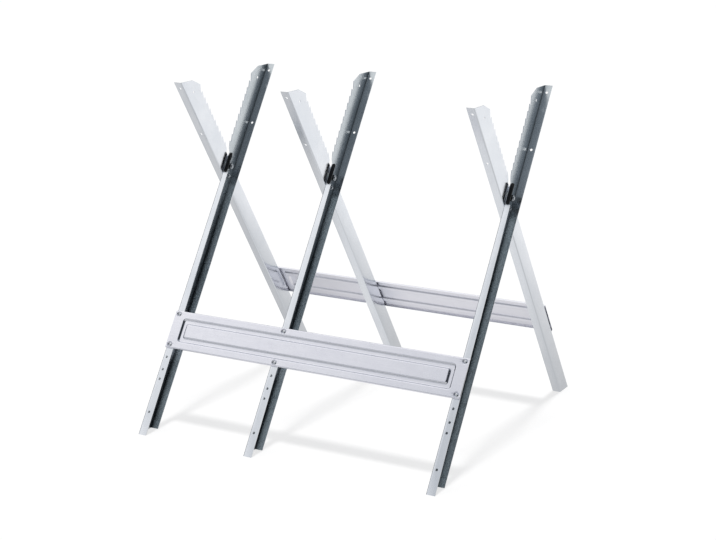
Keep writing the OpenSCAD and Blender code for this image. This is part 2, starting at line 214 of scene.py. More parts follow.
# The six legs are one blank cut from galvanised steel sheet and folded to a channel.
# The front flange stops under the crossing, where the web goes on as a saw-toothed arm.
LEG_LEAN = math.radians(34.2)
CROSSING_H = 555.0
WEB_W = 43.0
FLANGE_W = 20.0
FLANGE_TOP_W = 13.5
FLANGE_FOOT_W = 22.0
SHEET_T = 1.5
FOLD_R = 2.5
FLANGE_STOP = 13.0
RELIEF_CUT = 1.5
TOOTH_N = 10
TOOTH_PITCH = 18.3
TOOTH_H = 6.2
ROOT_OUT = 6.3
FIRST_TOOTH = 65.0
CROTCH_SLOPE = 6.0
PEAK_DEPTH = 3.8
CORNER_OUT = 15.3
CORNER_DROP = 16.0
HOLE_D = 6.0
SPARE_HOLES = (22.0, 53.0, 77.0, 159.0)
ARM_HOLES = (19.0, 164.0)
WEB_HOLE_DROP = 52.0
WEB_HOLE_IN = 16.3
BAR_RISE = 215.5
BAR_H = 93.0
SCREW_INSET = 8.5
PIVOT_RISE = 11.0
PIVOT_HOLE_D = 8.16
STOP_HOLE_D = 6.4
STOP_DROP = 14.5
FOLD_TURN = math.radians(64.0)
SLOT_PLAY = math.radians(0.3)
PEG_HOLE = (5.5, 29.7)
PEG_HOLE_D = 4.4
SPACER_T = 1.2
# Over this distance below the pivot, in these rows, the painted fold shade lightens towards the
# arm.
ARM_LESS_SHADE_FROM = 210.0
SHADE_ROWS = 8
FOLD_STEPS = 6
ROUND_STEPS = 32
UV_APART = 1.7
MM = 0.001
lean_sin = math.sin(LEG_LEAN)
lean_cos = math.cos(LEG_LEAN)
TOP_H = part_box("rear_leg_left")[1].z / MM
PIVOT = (WEB_W / 2 - PIVOT_RISE * lean_sin, PIVOT_RISE * lean_cos)
STOP = (WEB_W / 2, -STOP_DROP)
frame_names = ("left", "middle", "right")
web_x = {name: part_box("front_leg_" + name)[0].x / MM for name in frame_names}

flat_end = FLANGE_W - FOLD_R
web_start = flat_end + FOLD_R * math.pi / 2
web_end = web_start + WEB_W - 2 * FOLD_R
far_start = web_end + FOLD_R * math.pi / 2
blank_end = far_start + flat_end
BEYOND = 900.0
PEAK_STEP = 0.01
SAME_POINT = 1e-4


def level_s(z, y):
    """Distance up the leg at which the height z is met, at the depth y behind the front flange."""
    return (z - CROSSING_H + lean_sin * (y - WEB_W / 2)) / lean_cos


bar_low = level_s(0, 0) + BAR_RISE
arm_end = level_s(TOP_H, WEB_W)


def folded(u, s, depth):
    """The blank's point u across and s along, carried round the two folds, depth into the sheet.
    Flat stretches keep their length; a fold turns u into an angle about its centre. The ends
    are cut off level at the floor and at the top."""
    r = FOLD_R - depth
    near = np.clip((u - flat_end) / FOLD_R, 0, math.pi / 2)
    far = np.clip((u - web_end) / FOLD_R, 0, math.pi / 2)
    x = FOLD_R - r * np.sin(near) + np.maximum(flat_end - u, 0)
    y = FOLD_R - r * np.cos(near) + np.clip(u - web_start, 0, web_end - web_start)
    x = np.where(u > web_end, FOLD_R - r * np.cos(far) + np.maximum(u - far_start, 0), x)
    y = np.where(u > web_end, WEB_W - FOLD_R + r * np.sin(far), y)
    arm = (s > -FLANGE_STOP + RELIEF_CUT / 2) & (u < web_start)
    x = np.where(arm, depth, x)
    y = np.where(arm, FOLD_R + u - web_start, y)
    return np.stack([x, y, np.clip(s, level_s(0, y), level_s(TOP_H, y))], -1)


def across(y):
    """The blank's u of a point of the web at the depth y."""
    return web_start + y - FOLD_R


def circle_loop(u, s, d):
    """Points of a round hole."""
    a = np.arange(ROUND_STEPS) * 2 * math.pi / ROUND_STEPS
    return np.stack([u + d / 2 * np.cos(a), s + d / 2 * np.sin(a)], -1)


def slot_loop():
    """The stop bolt's slot: an arc about the fold axis, as wide as the bolt, with round ends."""
    reach = math.dist(STOP, PIVOT)
    lead = math.atan2(STOP[0] - PIVOT[0], PIVOT[1] - STOP[1])
    to = 2 * LEG_LEAN - lead + SLOT_PLAY
    start = to - FOLD_TURN - 2 * SLOT_PLAY
    w = STOP_HOLE_D / 2
    sweep_out = np.linspace(start, to, ROUND_STEPS)
    sweep_back = sweep_out[::-1]
    half = np.linspace(0, math.pi, ROUND_STEPS // 2)[1:-1]
    r = np.concatenate([0 * sweep_out + reach + w, reach + w * np.cos(half),
                        0 * sweep_back + reach - w, reach - w * np.cos(half)])
    a = np.concatenate([sweep_out, to + w / reach * np.sin(half), sweep_back,
                        start - w / reach * np.sin(half)])
    return np.stack([across(PIVOT[0] + r * np.sin(a)), PIVOT[1] - r * np.cos(a)], -1)


def blank_outline():
    """The edge of the flat blank, from the foot of the far flange up, down the toothed edge and
    down the free edge of the front flange, which gets wider towards the foot."""
    tips = [(out, FIRST_TOOTH + k * TOOTH_PITCH)
            for k in range(TOOTH_N) for out in (-ROOT_OUT - TOOTH_H, -ROOT_OUT)]
    corner = level_s(TOP_H, -CORNER_OUT) - CORNER_DROP
    edge = [(0.0, -FLANGE_STOP + RELIEF_CUT), (0.0, FIRST_TOOTH - TOOTH_PITCH - CROTCH_SLOPE),
            (-ROOT_OUT, FIRST_TOOTH - TOOTH_PITCH), *tips, (-ROOT_OUT, corner - CORNER_DROP),
            (-CORNER_OUT, corner), (PEAK_DEPTH, level_s(TOP_H, PEAK_DEPTH))]
    return np.array([(blank_end, -BEYOND), (blank_end, BEYOND),
                     (across(PEAK_DEPTH) + PEAK_STEP, BEYOND),
                     *[(across(y), s) for y, s in edge[::-1]],
                     (web_start, -FLANGE_STOP + RELIEF_CUT), (web_start, -FLANGE_STOP),
                     (FLANGE_W - FLANGE_TOP_W, -FLANGE_STOP),
                     (FLANGE_W - FLANGE_FOOT_W, -BEYOND)])


def cut_blank(holes):
    """Triangles of the flat blank, with lines along the folds and with the holes left out. Rows
    across the web carry the change of painted fold shade under the crossing."""
    loops = [blank_outline(), *holes]
    points, edges = [], []
    for loop in loops:
        first = len(points)
        points += [tuple(p) for p in loop]
        edges += [(first + i, first + (i + 1) % len(loop)) for i in range(len(loop))]
    near = np.linspace(flat_end, web_start, FOLD_STEPS + 1)[:-1]
    far = np.linspace(web_end, far_start, FOLD_STEPS + 1)
    lines = [((u, -BEYOND), (u, -FLANGE_STOP)) for u in near]
    lines += [((web_start, -BEYOND), (web_start, -FLANGE_STOP))]
    lines += [((u, -BEYOND), (u, BEYOND)) for u in far]
    lines += [((web_start, s), (blank_end, s))
              for s in np.linspace(PIVOT[1] - ARM_LESS_SHADE_FROM, PIVOT[1], SHADE_ROWS)]
    for line in lines:
        edges.append((len(points), len(points) + 1))
        points += line
    made = delaunay_2d_cdt([Vector(p) for p in points], edges, [], 1, SAME_POINT)
    flat = np.array([tuple(v) for v in made[0]])
    triangles = np.array([tuple(f) for f in made[2]])
    middle = flat[triangles].mean(1)
    keep = np.ones(len(triangles), bool)
    for loop in holes:
        keep &= ~inside_loop(middle, loop)
    return flat, triangles[keep]


def inside_loop(points, loop):
    """True for each point that lies in a closed loop, by counting the edges to its right."""
    a = loop[None]
    b = np.roll(loop, -1, 0)[None]
    p = points[:, None]
    spans = (a[..., 1] > p[..., 1]) != (b[..., 1] > p[..., 1])
    slope = (b[..., 0] - a[..., 0]) / np.where(spans, b[..., 1] - a[..., 1], 1)
    crossing = a[..., 0] + (p[..., 1] - a[..., 1]) * slope
    return ((spans & (crossing > p[..., 0])).sum(1) % 2).astype(bool)


def stand_leg(points, x, turned):
    """Leans points of the leg's own frame back by the leg angle about the crossing, and puts
    the web at x. A turned leg is the same one turned half round the upright axis."""
    y = points[:, 1] - WEB_W / 2
    out = np.stack([points[:, 0],
                    y * lean_cos + points[:, 2] * lean_sin,
                    CROSSING_H - y * lean_sin + points[:, 2] * lean_cos], -1)
    if turned:
        out[:, :2] *= -1
    return (out + (x, 0, 0)) * MM


def make_mesh(name, points, faces, uv=None, kinds=None, finishes=(), crease=30):
    """A mesh object of these points and faces, smooth except where faces meet at an angle over
    crease. Kinds gives each face's finish."""
    mesh = bpy.data.meshes.new(name)
    mesh.from_pydata(points.tolist(), [], [list(f) for f in faces])
    mesh.polygons.foreach_set("use_smooth", np.ones(len(faces), bool))
    mesh.set_sharp_from_angle(angle=math.radians(crease))
    for finish in finishes:
        mesh.materials.append(finish)
    if kinds is not None:
        mesh.polygons.foreach_set("material_index", kinds)
    if uv is not None:
        corners = np.zeros(len(mesh.loops), np.int32)
        mesh.loops.foreach_get("vertex_index", corners)
        mesh.uv_layers.new(name="sheet").data.foreach_set("uv", uv[corners].ravel())
    made = bpy.data.objects.new(name, mesh)
    bpy.context.scene.collection.objects.link(made)
    return made


def sheet_solid(outer, inner, faces):
    """The two skins of a sheet, joined by a wall along every open edge. Faces are the outer
    skin's, seen from outside. Kinds are 0 outside, 1 inside and 2 on the sheared edge."""
    n = len(outer)
    sides = np.stack([faces, np.roll(faces, -1, 1)], -1).reshape(-1, 2)
    _, index, count = np.unique(np.sort(sides, 1), axis=0, return_index=True, return_counts=True)
    rim = sides[index[count == 1]]
    walls = np.stack([rim[:, 1], rim[:, 0], rim[:, 0] + n, rim[:, 1] + n], -1)
    kinds = np.repeat([0, 1, 2], [len(faces), len(faces), len(walls)])
    return [*faces.tolist(), *(faces[:, ::-1] + n).tolist(), *walls.tolist()], kinds


# Continuously galvanised sheet keeps a satin, faintly spangled zinc skin, rougher inside the
# channel. Its colour is painted darker inside the channel and darkest along the far fold: painted
# shade of the channel. Its sheared edges stay bright. Spangle, streaks and clouds are drawn at
# their real sizes.
ZINC_LIGHT = "#EEF1F6"
ZINC_SHADE = "#E6EAF0"
# Painted shade: the inside colours are darker than the outside ones for the shade in the channel,
# and the fold colour is the deeper painted shade along the far fold inside.
ZINC_INSIDE_LIGHT = "#D6DCE0"
ZINC_INSIDE_SHADE = "#CDD4D8"
ZINC_FOLD_SHADE = "#686F73"
CUT_EDGE = "#F2F3F6"
SPANGLE_MM = 9.0
STREAK_MM = 2.6
STREAK_STRETCH = 26.0
CLOUD_MM = 70.0
WAVE_MM = 55.0
WAVE_DEPTH_MM = 0.035
STREAK_SHARE = 0.75
CLOUD_SHARE = 0.7
TONE_LOW = 0.36
TONE_HIGH = 0.64
GRAIN_LOW = 0.3
GRAIN_HIGH = 0.7
SMOOTHER = 0.02
ROUGHER = 0.03
OUTSIDE_ROUGH = 0.20
INSIDE_ROUGH = 0.27
EDGE_ROUGH = 0.24
# How the painted shade sharpens, and how much of the painted fold shade the arm loses.
PAINTED_SHADE_FADE = 2.6
ARM_LESS_SHADE = 0.30


def galvanised(name, light, shade, roughness, painted_shade):
    """Hot-dip zinc on steel: crystals a few millimetres wide, rolling streaks along the sheet and
    slow clouds that shift its colour, with the slight waves of thin sheet as bump. The last colour
    is painted shade, mixed in where the mesh marks shade deep in a fold and on the steep walls of
    a groove."""
    finish = bpy.data.materials.new(name)
    finish.use_nodes = True
    tree = finish.node_tree
    tree.nodes.clear()
    where = add_node(tree, "ShaderNodeTexCoord")
    stretched = add_node(tree, "ShaderNodeMapping", {"Scale": (1.0, 1.0 / STREAK_STRETCH, 1.0)},
                         {"Vector": where.outputs["UV"]})
    crystals = add_node(tree, "ShaderNodeTexVoronoi", {"Scale": 1 / (SPANGLE_MM * MM)},
                        {"Vector": where.outputs["UV"]})
    streaks = add_node(tree, "ShaderNodeTexNoise",
                       {"Scale": 1 / (STREAK_MM * MM), "Detail": 3.0},
                       {"Vector": stretched.outputs[0]})
    clouds = add_node(tree, "ShaderNodeTexNoise", {"Scale": 1 / (CLOUD_MM * MM), "Detail": 2.0},
                      {"Vector": where.outputs["Object"]})
    waves = add_node(tree, "ShaderNodeTexNoise", {"Scale": 1 / (WAVE_MM * MM), "Detail": 1.0},
                     {"Vector": where.outputs["Object"]})
    grey = add_node(tree, "ShaderNodeRGBToBW", {}, {0: crystals.outputs["Color"]})
    grain = add_node(tree, "ShaderNodeMix", {"data_type": "FLOAT", 0: STREAK_SHARE},
                     {2: grey.outputs[0], 3: streaks.outputs["Fac"]})
    tone = add_node(tree, "ShaderNodeMix", {"data_type": "FLOAT", 0: CLOUD_SHARE},
                    {2: grain.outputs[0], 3: clouds.outputs["Fac"]})
    spread = add_node(tree, "ShaderNodeMapRange", {1: TONE_LOW, 2: TONE_HIGH},
                      {0: tone.outputs[0]})
    zinc = add_node(tree, "ShaderNodeMix",
                    {"data_type": "RGBA", 6: colour(light), 7: colour(shade)},
                    {0: spread.outputs[0]})
    rough = add_node(tree, "ShaderNodeMapRange",
                     {1: GRAIN_LOW, 2: GRAIN_HIGH, 3: roughness - SMOOTHER,
                      4: roughness + ROUGHER},
                     {0: grain.outputs[0]})
    # The mesh's mark for painted shade, sharpened, mixes the shade colour into the zinc.
    mark = add_node(tree, "ShaderNodeAttribute", {"attribute_name": "painted_shade"})
    inside = add_node(tree, "ShaderNodeMapRange", {}, {0: mark.outputs["Fac"]})
    depth = add_node(tree, "ShaderNodeMath", {"operation": "POWER", 1: PAINTED_SHADE_FADE},
                     {0: inside.outputs[0]})
    zinc = add_node(tree, "ShaderNodeMix", {"data_type": "RGBA", 7: colour(painted_shade)},
                    {0: depth.outputs[0], 6: zinc.outputs[2]})
    bump = add_node(tree, "ShaderNodeBump", {"Strength": 1.0, "Distance": WAVE_DEPTH_MM * MM},
                    {"Height": waves.outputs["Fac"]})
    skin = add_node(tree, "ShaderNodeBsdfPrincipled", {"Metallic": 1.0},
                    {"Base Color": zinc.outputs[2], "Roughness": rough.outputs[0],
                     "Normal": bump.outputs[0]})
    add_node(tree, "ShaderNodeOutputMaterial", {}, {0: skin.outputs[0]})
    return finish


# The last colour given to each finish is its painted shade, faint on the outside of the fold and
# deep inside it.
zinc_outside = galvanised("galvanised_outside", ZINC_LIGHT, ZINC_SHADE, OUTSIDE_ROUGH,
                          ZINC_SHADE)
zinc_inside = galvanised("galvanised_inside", ZINC_INSIDE_LIGHT, ZINC_INSIDE_SHADE, INSIDE_ROUGH,
                         ZINC_FOLD_SHADE)
cut_steel = galvanised("sheared_edge", CUT_EDGE, ZINC_LIGHT, EDGE_ROUGH, CUT_EDGE)

flange_x = FLANGE_W / 2
screw_rows = (bar_low + SCREW_INSET, bar_low + BAR_H - SCREW_INSET)
lower_holes = [*screw_rows, *[bar_low - drop for drop in SPARE_HOLES]]
shared_holes = [circle_loop(FLANGE_W - flange_x, s, HOLE_D) for s in lower_holes]
shared_holes += [circle_loop(far_start - FOLD_R + flange_x, arm_end - drop, HOLE_D)
                 for drop in ARM_HOLES]
shared_holes += [circle_loop(across(WEB_HOLE_IN), arm_end - WEB_HOLE_DROP, HOLE_D),
                 circle_loop(across(PIVOT[0]), PIVOT[1], PIVOT_HOLE_D)]
front_holes = [circle_loop(across(STOP[0]), STOP[1], STOP_HOLE_D),
               circle_loop(across(PEG_HOLE[0]), PEG_HOLE[1], PEG_HOLE_D)]
for side, own_holes in (("front", front_holes), ("rear", [slot_loop()])):
    flat, triangles = cut_blank(shared_holes + own_holes)
    # Painted shade along the far fold: strongest in the fold, fading across the web and the far
    # flange.
    fold_shade = np.minimum(1 - (web_end - flat[:, 0]) / flat_end,
                         (blank_end - flat[:, 0]) / flat_end)
    # Near the crossing and on the arm the painted fold shade is lighter, as no flange closes the
    # channel's front in.
    up_arm = np.clip((flat[:, 1] - PIVOT[1]) / ARM_LESS_SHADE_FROM + 1, 0, 1)
    fold_shade = fold_shade - ARM_LESS_SHADE * up_arm
    for name in frame_names:
        turned = side == "rear"
        x = web_x[name] - SPACER_T * turned
        outer = stand_leg(folded(flat[:, 0], flat[:, 1], 0.0), x, turned)
        inner = stand_leg(folded(flat[:, 0], flat[:, 1], SHEET_T), x, turned)
        faces, kinds = sheet_solid(outer, inner, triangles[:, ::-1])
        sheet_uv = np.concatenate([flat, flat]) * MM + (x * MM, turned * UV_APART)
        leg = make_mesh(side + "_leg_sheet_" + name, np.concatenate([outer, inner]), faces,
                        sheet_uv, kinds, (zinc_outside, zinc_inside, cut_steel))
        marks = leg.data.attributes.new("painted_shade", "FLOAT", "POINT")
        marks.data.foreach_set("value", np.concatenate([fold_shade, fold_shade]).astype(np.float32))
        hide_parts(side + "_leg_" + name)
        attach(leg, side + "_frame")

# Each crossbar is one pressing of thinner galvanised sheet, screwed across the three legs of
# its side. A ring groove stiffens it, its long edges are folded back, and each screw sits in
# a dimple.
BAR_T = 1.2
BAR_DEEP = 5.0
BAR_FOLD_R = 2.4
GROOVE_INSET = 18.5
GROOVE_END = 29.0
GROOVE_W = 11.0
GROOVE_R = 6.0
GROOVE_WALL_RUN = 4.5
DIMPLE_D = 13.0
DIMPLE_WALL_RUN = 2.2
FINE_STEP = 0.8
WIDE_STEP = 12.0
SLOPE_STEP = 0.2
STEEP = 0.9
BAR_LIGHT = "#F8F8FF"
BAR_SHADE = "#F4F4FC"
# Painted shade on the groove's steep walls.
BAR_GROOVE_SHADE = "#E0E2E9"
BAR_ROUGH = 0.25
BAR_INSIDE_ROUGH = 0.42
bar_lo, bar_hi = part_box("front_crossbar")
bar_half = (bar_hi.x - bar_lo.x) / 2 / MM


def rounded_gap(x, y, half_w, half_h, r):
    """Distance outside a rectangle with round corners, negative inside it."""
    past_x = np.abs(x) - half_w + r
    past_y = np.abs(y) - half_h + r
    corner = np.hypot(np.maximum(past_x, 0), np.maximum(past_y, 0))
    return corner + np.minimum(np.maximum(past_x, past_y), 0) - r


def ease(t):
    """A smooth step from 0 to 1 as t goes from 0 to 1."""
    t = np.clip(t, 0, 1)
    return t * t * (3 - 2 * t)


def groove(x, y):
    """The ring pressed between two rounded rectangles with sloped walls, as a share of depth."""
    outer = rounded_gap(x, y, bar_half - GROOVE_END, BAR_H / 2 - GROOVE_INSET, GROOVE_R)
    inner = rounded_gap(x, y, bar_half - GROOVE_END - GROOVE_W,
                        BAR_H / 2 - GROOVE_INSET - GROOVE_W, GROOVE_R - BAR_T)
    return np.minimum(ease(0.5 - outer / GROOVE_WALL_RUN), ease(0.5 + inner / GROOVE_WALL_RUN))


def groove_walls(x, y):
    """How steep the ring's walls are, from 0 on the flat to 1, by differences of its depth."""
    along = groove(x + SLOPE_STEP, y) - groove(x - SLOPE_STEP, y)
    up = groove(x, y + SLOPE_STEP) - groove(x, y - SLOPE_STEP)
    slope = np.hypot(along, up) * (BAR_DEEP - BAR_T) / (2 * SLOPE_STEP)
    return np.clip(slope / STEEP, 0, 1)


def pressed(x, y, screw_x):
    """How far the sheet is pressed in: the ring, and a round dimple at each screw."""
    depth = groove(x, y)
    for at in screw_x:
        away = np.hypot(x - at, np.abs(y) - BAR_H / 2 + SCREW_INSET)
        depth = np.maximum(depth, ease((DIMPLE_D / 2 - away) / DIMPLE_WALL_RUN))
    return depth * (BAR_DEEP - BAR_T)


def bar_lines(screw_x):
    """Stations along the bar, close together at the groove's ends and at the screws."""
    near_end = bar_half - GROOVE_END + GROOVE_WALL_RUN
    past_corner = near_end - GROOVE_W - GROOVE_R - 2 * GROOVE_WALL_RUN
    dense = [(near_end, past_corner), (-near_end, -past_corner)]
    dense += [(at - DIMPLE_D / 2, at + DIMPLE_D / 2) for at in screw_x]
    stops = [np.linspace(a, b, int(abs(b - a) / FINE_STEP) + 1) for a, b in dense]
    wide = np.linspace(-bar_half, bar_half, int(2 * bar_half / WIDE_STEP))
    return np.unique(np.round(np.clip(np.concatenate([wide, *stops]), -bar_half, bar_half), 3))


def bar_surface(screw_x):
    """The bar's outer skin as a grid: a line along it carried over the folded edge, up the
    face and over the other fold, with the pressing taken off the face."""
    along = bar_lines(screw_x)
    turn = np.linspace(0, math.pi / 2, FOLD_STEPS + 1)
    face_half = BAR_H / 2 - BAR_FOLD_R
    face = np.linspace(-face_half, face_half, int(2 * face_half / FINE_STEP))
    fold_y = BAR_H / 2 - BAR_FOLD_R + BAR_FOLD_R * np.cos(turn)
    fold_z = BAR_DEEP - BAR_FOLD_R + BAR_FOLD_R * np.sin(turn)
    y = np.concatenate([[-BAR_H / 2], -fold_y, face[1:-1], fold_y[::-1], [BAR_H / 2]])
    z = np.concatenate([[0.0], fold_z, 0 * face[1:-1] + BAR_DEEP, fold_z[::-1], [0.0]])
    x, y = np.meshgrid(along, y, indexing="ij")
    z = np.broadcast_to(z, x.shape) - pressed(x, y, screw_x) * (np.abs(y) < face_half)
    return np.stack([x, y, z], -1)


def grid_faces(nu, nv, round_v=False):
    """Quads of a grid of nu by nv points, closed round in v if asked."""
    i, j = np.meshgrid(np.arange(nu - 1), np.arange(nv if round_v else nv - 1), indexing="ij")
    k = (j + 1) % nv
    quads = [i * nv + j, (i + 1) * nv + j, (i + 1) * nv + k, i * nv + k]
    return np.stack(quads, -1).reshape(-1, 4)


def thinned(grid, thickness):
    """The grid moved one thickness back along its normals, the cross product of its slopes."""
    normal = np.cross(np.gradient(grid, axis=0), np.gradient(grid, axis=1))
    return grid - normal / np.linalg.norm(normal, axis=-1, keepdims=True) * thickness


def on_bar(points):
    """From the bar's own frame, with y up its face and z out, to the leg's."""
    return np.stack([points[..., 0] + FLANGE_W / 2, -points[..., 2],
                     points[..., 1] + bar_low + BAR_H / 2], -1).reshape(-1, 3)


# The outer skin is painted darker on the groove's steep walls: painted shade in the groove. The
# inner skin is more matt, so that it mirrors its own lines softly.
pressed_outside = galvanised("pressed_outside", BAR_LIGHT, BAR_SHADE, BAR_ROUGH, BAR_GROOVE_SHADE)
pressed_inside = galvanised("pressed_inside", BAR_LIGHT, BAR_SHADE, BAR_INSIDE_ROUGH, BAR_LIGHT)
bar_middle = (bar_lo.x + bar_hi.x) / 2 / MM
screw_places = {"front": [web_x[n] + FLANGE_W / 2 - bar_middle for n in frame_names]}
screw_places["rear"] = [-at for at in screw_places["front"]]
bar_web = {"front": bar_middle - FLANGE_W / 2, "rear": FLANGE_W / 2 - bar_middle}
for side in ("front", "rear"):
    grid = bar_surface(screw_places[side])
    turned = side == "rear"
    outer = stand_leg(on_bar(grid), bar_web[side], turned)
    inner = stand_leg(on_bar(thinned(grid, BAR_T)), bar_web[side], turned)
    faces, kinds = sheet_solid(outer, inner, grid_faces(*grid.shape[:2]))
    flat = (grid[..., 1::-1].reshape(-1, 2) + (BAR_H, 0)) * MM + (0, turned * UV_APART)
    bar = make_mesh(side + "_crossbar_pressing", np.concatenate([outer, inner]), faces,
                    np.concatenate([flat, flat]), kinds,
                    (pressed_outside, pressed_inside, cut_steel))
    # The groove's steep walls are marked for painted shade.
    walls = groove_walls(grid[..., 0], grid[..., 1]).ravel() * (grid[..., 2].ravel() > 0)
    marks = bar.data.attributes.new("painted_shade", "FLOAT", "POINT")
    marks.data.foreach_set("value", np.concatenate([walls, walls]).astype(np.float32))
    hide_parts(side + "_crossbar")
    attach(bar, side + "_frame")

# The crossbars are held by small pan-head screws with a cross recess, bright zinc plated,
# each with a hexagon nut inside the channel.
SCREW_D = 5.0
SCREW_HEAD_D = 10.0
SCREW_HEAD_H = 2.8
SCREW_HEAD_RIM = 0.7
CROSS_ARM = 2.0
CROSS_WIDTH = 0.8
CROSS_DEPTH = 0.6
SCREW_NUT_AF = 8.0
SCREW_NUT_H = 4.0
THREAD_OUT = 2.0
THREAD_PITCH = 0.8
THREAD_DEPTH = 0.35
RING_STEPS = 48
PLATING = "#F3F4F6"
PLATING_SHADE = "#DDE0E4"
PLATING_ROUGH = 0.08
PLATING_CLOUD_MM = 6.0
CLOUD_ROUGH = 0.05
CROSS_FLARE = 0.2
CROSS_EDGE = 0.3
CROSS_END = 0.5
CROSS_SHALLOWER = 0.6
DOME_STEPS = 22
ON_FLATS = 0.9
CORNER_FROM = 0.48
CORNER_STEPS = 5
BORE_SINK = 0.4
END_TAPER = 0.6
END_SHORT = 0.5
RINGS_PER_TURN = 5


def plated(name, light, shade, roughness):
    """Electroplated zinc with a clear passivate: almost a mirror, with faint cloudy patches."""
    finish = bpy.data.materials.new(name)
    finish.use_nodes = True
    tree = finish.node_tree
    tree.nodes.clear()
    where = add_node(tree, "ShaderNodeTexCoord")
    clouds = add_node(tree, "ShaderNodeTexNoise", {"Scale": 1 / (PLATING_CLOUD_MM * MM)},
                      {"Vector": where.outputs["Object"]})
    tone = add_node(tree, "ShaderNodeMix",
                    {"data_type": "RGBA", 6: colour(light), 7: colour(shade)},
                    {0: clouds.outputs["Fac"]})
    rough = add_node(tree, "ShaderNodeMapRange",
                     {3: roughness - CLOUD_ROUGH, 4: roughness + CLOUD_ROUGH},
                     {0: clouds.outputs["Fac"]})
    skin = add_node(tree, "ShaderNodeBsdfPrincipled", {"Metallic": 1.0},
                    {"Base Color": tone.outputs[2], "Roughness": rough.outputs[0]})
    add_node(tree, "ShaderNodeOutputMaterial", {}, {0: skin.outputs[0]})
    return finish


def close_rings(rings, poles):
    """A closed solid of rings joined side by side, with a fan to a pole at each end. Its faces
    point outwards where the rings go down the axis about which they turn left."""
    n_rings, n = rings.shape[:2]
    step = np.arange(n)
    after = (step + 1) % n
    last = (n_rings - 1) * n
    top = n_rings * n
    faces = grid_faces(n_rings, n, True).tolist()
    faces += np.stack([step * 0 + top, step, after], -1).tolist()
    faces += np.stack([step * 0 + top + 1, after + last, step + last], -1).tolist()
    return np.concatenate([rings.reshape(-1, 3), poles]), faces


def turned_on_axis(profile, shape=None):
    """A closed solid from rings about its z axis. The profile is a list of radius and height
    from the upper pole to the lower, and shape may change the rings' radius and height."""
    r, z = np.array(profile).T
    a = np.arange(RING_STEPS) * 2 * math.pi / RING_STEPS
    r, a = np.meshgrid(r[1:-1], a, indexing="ij")
    height = np.broadcast_to(z[1:-1, None], r.shape)
    if shape:
        r, height = shape(r, a, height)
    rings = np.stack([r * np.cos(a), r * np.sin(a), height], -1)
    upper = height[0].mean() if shape else z[0]
    return close_rings(rings, np.array([(0, 0, upper), (0, 0, z[-1])]))


def ring_on_axis(profile, shape=None):
    """A closed ring about its z axis, such as a nut: the profile goes once round its section."""
    r, z = np.array(profile + profile[:1]).T
    a = np.arange(RING_STEPS) * 2 * math.pi / RING_STEPS
    r, a = np.meshgrid(r, a, indexing="ij")
    height = np.broadcast_to(z[:, None], r.shape)
    if shape:
        r, height = shape(r, a, height)
    rings = np.stack([r * np.cos(a), r * np.sin(a), height], -1)
    n = len(profile)
    faces = grid_faces(n + 1, RING_STEPS, True)
    return rings[:n].reshape(-1, 3), (faces % (n * RING_STEPS))[:, ::-1].tolist()


def hexagon(af):
    """Limits a ring's radius to a hexagon that is af across its flats."""
    def shape(r, a, z):
        turn = (a % (math.pi / 3)) - math.pi / 6
        flat = np.where(r > af / 2 * ON_FLATS, af / 2 / np.cos(turn), r)
        return np.minimum(r, flat), z
    return shape


def turned_corner(af):
    """Radius and height down the 30 degree turned corners of a hexagon, from its flat end."""
    corner = af / 2 / math.cos(math.pi / 6)
    drop = (corner - af * CORNER_FROM) * math.tan(math.pi / 6)
    return [(af * CORNER_FROM + (corner - af * CORNER_FROM) * t, drop * t)
            for t in np.linspace(0, 1, CORNER_STEPS)]


def nut_profile(bore, af, h):
    """A nut's section: bore with a small countersink, flat faces and 30 degree corners."""
    lower = [(bore / 2 + BORE_SINK, 0.0), *turned_corner(af)]
    return [(bore / 2, BORE_SINK), *lower, *[(r, h - z) for r, z in lower[::-1]],
            (bore / 2, h - BORE_SINK)]


def shank_profile(d, start, end, pitch, threaded_from):
    """Radius and height down a shank to its chamfered end, with rings fine enough to thread."""
    plain = [(d / 2, start), (d / 2, threaded_from)]
    count = max(2, int(abs(end - threaded_from) / pitch * RINGS_PER_TURN))
    threads = [(d / 2, z) for z in np.linspace(threaded_from, end, count)[1:]]
    return plain + threads + [(d / 2 - END_TAPER, end - END_SHORT), (0.0, end - END_SHORT)]


def pan_head(r, a, z):
    """Sinks a cross into the top of the head, deepest at its middle."""
    across_arm = np.minimum(np.abs(r * np.cos(a)), np.abs(r * np.sin(a)))
    in_cross = ease((CROSS_WIDTH / 2 + CROSS_FLARE - across_arm) / CROSS_EDGE)
    in_cross = in_cross * ease((CROSS_ARM - r) / CROSS_END)
    depth = CROSS_DEPTH * (1 - r / CROSS_ARM * CROSS_SHALLOWER)
    return r, np.where(z > SCREW_HEAD_RIM, z - depth * in_cross, z)


def place_copies(piece, places):
    """Copies one piece's points to several places and joins them into one mesh."""
    points, faces = piece
    n = len(points)
    moved = np.concatenate([place(points) for place in places])
    joined = [[k + n * i for k in face] for i in range(len(places)) for face in faces]
    return moved, joined


def at_screw(side, at, edge, lift):
    """Where a point of a screw or of its nut lies, for the screw at one leg and edge."""
    def place(points):
        local = points + (at, edge * (BAR_H / 2 - SCREW_INSET), lift)
        return stand_leg(on_bar(local), bar_web[side], side == "rear")
    return place


